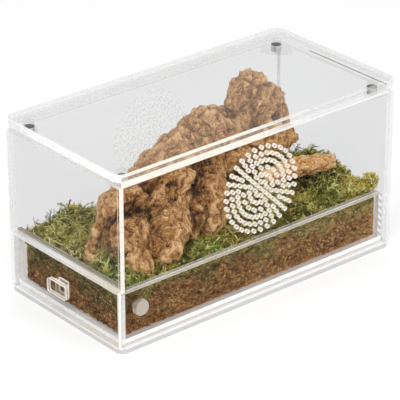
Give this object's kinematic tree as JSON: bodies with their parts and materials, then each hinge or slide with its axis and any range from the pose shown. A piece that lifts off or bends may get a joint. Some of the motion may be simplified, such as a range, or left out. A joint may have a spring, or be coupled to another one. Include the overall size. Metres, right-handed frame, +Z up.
{
  "type": "reptile terrarium",
  "caption": "Long clear acrylic terrarium with round vents, a lift-off magnetic lid and a planted slide-out tray held by a lock screw.",
  "frame": {"origin": "centre of the base plate's underside", "axes": "+X along the length, away from the drawer end; +Y from the wall with the lock screw to the back; +Z up"},
  "size_m": [0.308, 0.154, 0.16],
  "materials": {
    "clear_acrylic": "clear cast acrylic sheet, polished",
    "polished_edge_acrylic": "clear cast acrylic with cut edges that catch the light",
    "magnet": "black coated disc magnet",
    "bush_metal": "turned, satin",
    "knob_metal": "turned face and knurled rim, nickel plated",
    "coconut_soil": "loose coconut fibre and soil",
    "green_moss": "dried sheet moss",
    "yellow_moss": "yellow-green bushy moss",
    "driftwood": "bare weathered root wood, fibrous and gnarled",
    "log_wood": "bark-free branch with a split end"
  },
  "bodies": {
    "case": {"base_plate": "clear_acrylic", "base_runners": "polished_edge_acrylic", "front_wall": "clear_acrylic", "back_wall": "clear_acrylic", "right_end_wall": "clear_acrylic", "top_rim": "polished_edge_acrylic", "corner_gussets": "polished_edge_acrylic", "frame_magnets": "magnet", "guide_rails": "polished_edge_acrylic", "lock_bush": "bush_metal"},
    "lid": {"lid_plate": "clear_acrylic", "lid_spacers": "polished_edge_acrylic", "lid_magnets": "magnet"},
    "drawer": {"drawer_front": "clear_acrylic", "seam_strip": "polished_edge_acrylic", "upper_end_panel": "clear_acrylic", "tray_floor": "clear_acrylic", "tray_front_side": "clear_acrylic", "tray_back_side": "clear_acrylic", "tray_left_end": "clear_acrylic", "tray_right_end": "clear_acrylic", "handle_grip": "polished_edge_acrylic", "handle_stem": "polished_edge_acrylic", "substrate_bed": "coconut_soil", "moss_carpet": "green_moss", "yellow_moss_tuft": "yellow_moss", "wood_main": "driftwood", "small_log": "log_wood"},
    "lock_screw": {"lock_shank": "bush_metal"},
    "lock_head": {"lock_knob": "knob_metal"}
  },
  "joints": [
    {"name": "drawer_slide", "type": "slide", "parent": "case", "child": "drawer", "axis": [-1, 0, 0], "range_m": [0, 0.2]},
    {"name": "lid_lift", "type": "slide", "parent": "case", "child": "lid", "axis": [0, 0, 1], "range_m": [0, 0.08]},
    {"name": "lock_travel", "type": "slide", "parent": "case", "child": "lock_screw", "axis": [0, -1, 0], "range_m": [0, 0.0014]},
    {"name": "lock_turn", "type": "hinge", "parent": "lock_screw", "child": "lock_head", "pos_m": [-0.1308, -0.0746, 0.0387], "axis": [0, -1, 0], "range_deg": [0, 720]}
  ],
  "couplings": [
    {"joint": "lock_travel", "follows": "lock_turn", "m_per_rad": 0.000111}
  ]
}
